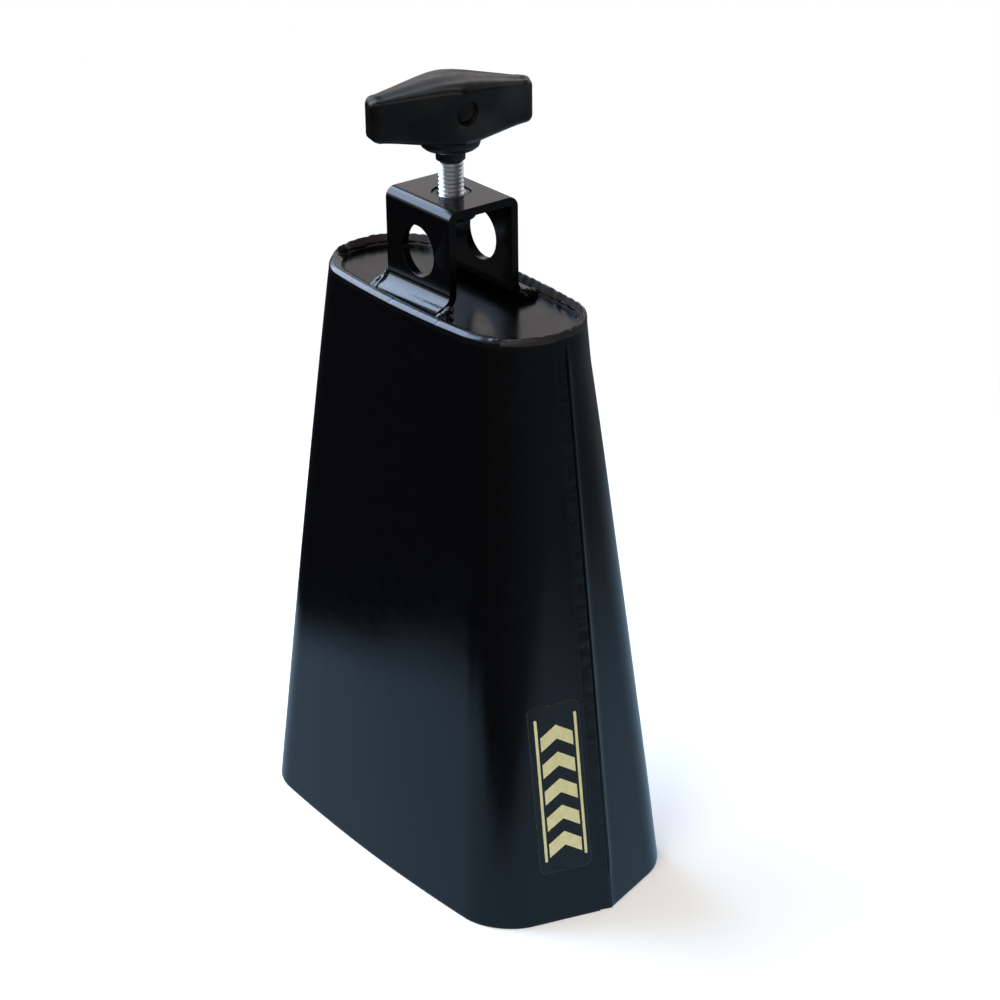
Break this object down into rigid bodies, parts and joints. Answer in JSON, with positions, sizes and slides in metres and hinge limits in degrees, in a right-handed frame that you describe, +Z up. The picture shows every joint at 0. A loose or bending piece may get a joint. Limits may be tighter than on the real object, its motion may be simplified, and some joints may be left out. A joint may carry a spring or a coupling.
{
  "type": "cowbell",
  "caption": "Welded sheet-steel cowbell with an open mouth, a strap bracket for a mounting rod and a T-handle screw that clamps the rod.",
  "frame": {"origin": "centre of the open mouth, in the plane of its edge", "axes": "+X along the wide side of the bell towards the labelled end, +Y along the mounting rod towards the rear face, +Z up from the mouth to the bracket"},
  "size_m": [0.1156, 0.0608, 0.1964],
  "materials": {
    "black_enamel": "gloss black enamel",
    "black_weld": "gloss black over weld",
    "zinc_plate": "bright zinc plate",
    "black_plastic": "satin moulded",
    "cream_film": "printed film"
  },
  "bodies": {
    "bell": {"front_shell_half": "black_enamel", "rear_shell_half": "black_enamel", "top_plate": "black_enamel", "rim_weld": "black_weld", "side_seam_weld_left": "black_weld", "side_seam_weld_right": "black_weld", "mounting_bracket": "black_enamel", "foot_weld_front_left": "black_weld", "foot_weld_front_right": "black_weld", "foot_weld_rear_left": "black_weld", "foot_weld_rear_right": "black_weld", "threaded_insert": "black_weld", "decal_label": "cream_film"},
    "screw": {"clamp_bolt": "zinc_plate"},
    "handle": {"t_handle": "black_plastic"}
  },
  "joints": [
    {"name": "screw_travel", "type": "slide", "parent": "bell", "child": "screw", "axis": [0, 0, 1], "range_m": [-0.0075, 0.0045]},
    {"name": "handle_turn", "type": "hinge", "parent": "screw", "child": "handle", "pos_m": [0, 0, 0.1764], "axis": [0, 0, 1], "range_deg": [-2700, 1620]}
  ],
  "couplings": [
    {"joint": "screw_travel", "follows": "handle_turn", "m_per_rad": 0.00015915}
  ]
}
